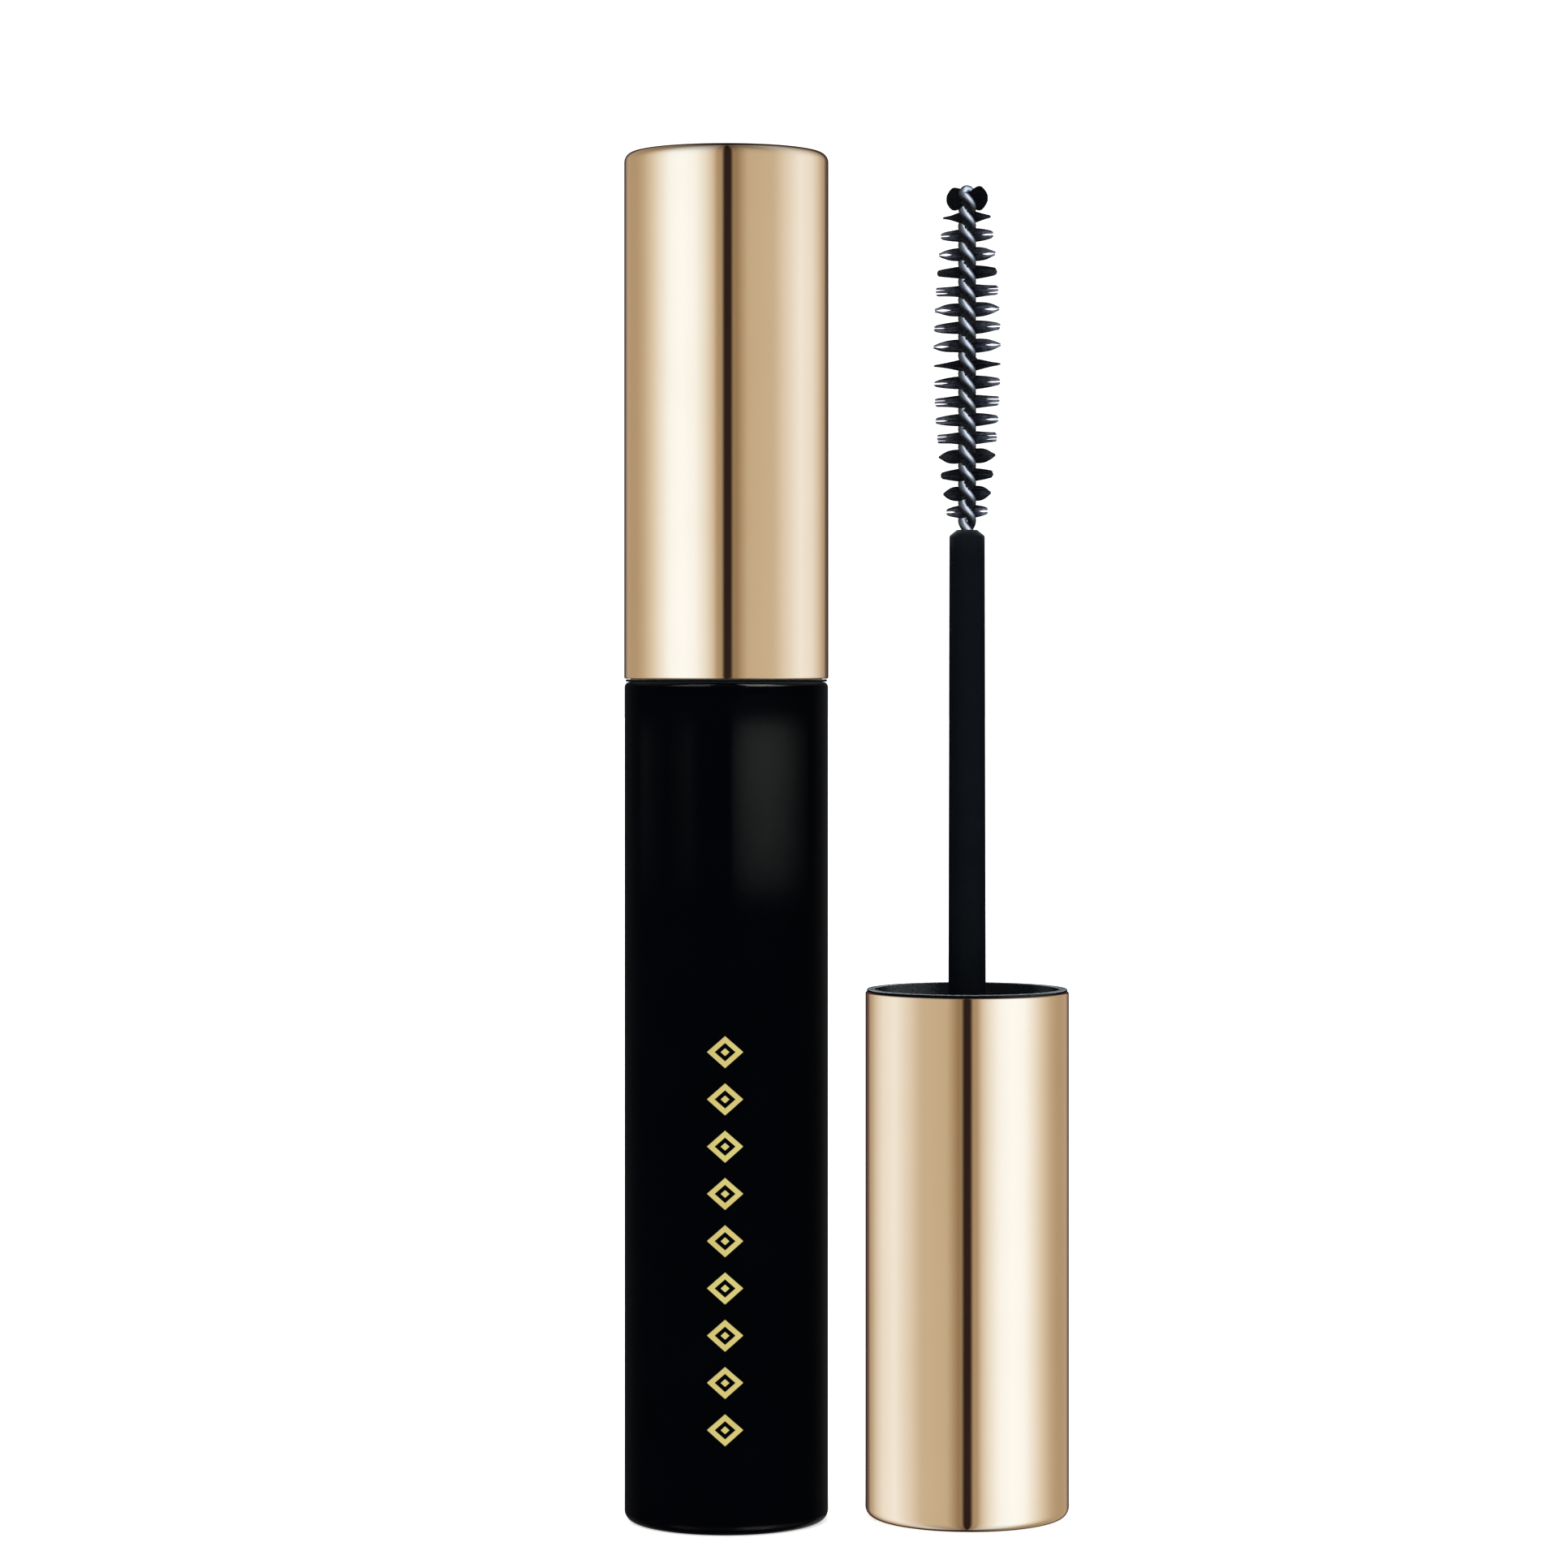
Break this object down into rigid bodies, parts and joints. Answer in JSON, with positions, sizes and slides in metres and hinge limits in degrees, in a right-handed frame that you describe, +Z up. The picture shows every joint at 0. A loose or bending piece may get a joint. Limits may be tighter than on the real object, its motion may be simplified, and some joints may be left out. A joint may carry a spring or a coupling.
{
  "type": "mascara tube",
  "caption": "Slim round mascara tube with a metallic screw cap, a twisted-wire brush applicator inside it, and a second applicator drawn out and standing on its cap.",
  "frame": {"origin": "centre of the closed tube's base, on the surface that it stands on", "axes": "+Z up along the closed tube's axis, +X towards the loose applicator, -Y towards the printed front"},
  "size_m": [0.0371, 0.0185, 0.1137],
  "materials": {
    "gold_metal": "polished, pale gold anodised",
    "black_lacquer": "high-gloss black lacquer",
    "black_plastic": "moulded black, half gloss",
    "stem_plastic": "smooth moulded black",
    "vial_plastic": "natural moulded black",
    "wiper_rubber": "soft satin",
    "gasket_foam": "matt closed foam",
    "steel_wire": "bright drawn stainless wire",
    "bristle_nylon": "glossy black nylon fibre",
    "mascara_paste": "wet black paste",
    "gold_foil": "hot-stamped foil"
  },
  "bodies": {
    "bottle": {"outer_barrel": "black_lacquer", "base_plug": "black_plastic", "inner_vial": "vial_plastic", "wiper": "wiper_rubber", "mascara_fill": "mascara_paste"},
    "seal": {"cap_gasket": "gasket_foam"},
    "applicator": {"cap_shell": "gold_metal", "inner_cap": "black_plastic", "stem": "stem_plastic", "brush_wire": "steel_wire", "bristles": "bristle_nylon"},
    "loose_applicator": {"loose_cap_shell": "gold_metal", "loose_inner_cap": "black_plastic", "loose_cap_gasket": "gasket_foam", "loose_stem": "stem_plastic", "loose_brush_wire": "steel_wire", "loose_bristles": "bristle_nylon"}
  },
  "joints": [
    {"name": "applicator_draw", "type": "slide", "parent": "bottle", "child": "seal", "axis": [0, 0, 1], "range_m": [0, 0.09], "deforming": ["wiper"]},
    {"name": "cap_turn", "type": "hinge", "parent": "seal", "child": "applicator", "pos_m": [0, 0, 0.06965], "axis": [0, 0, 1], "range_deg": [0, 450]},
    {"name": "loose_applicator_lift", "type": "slide", "parent": "bottle", "child": "loose_applicator", "axis": [0, 0, 1], "range_m": [0, 0.06]}
  ]
}
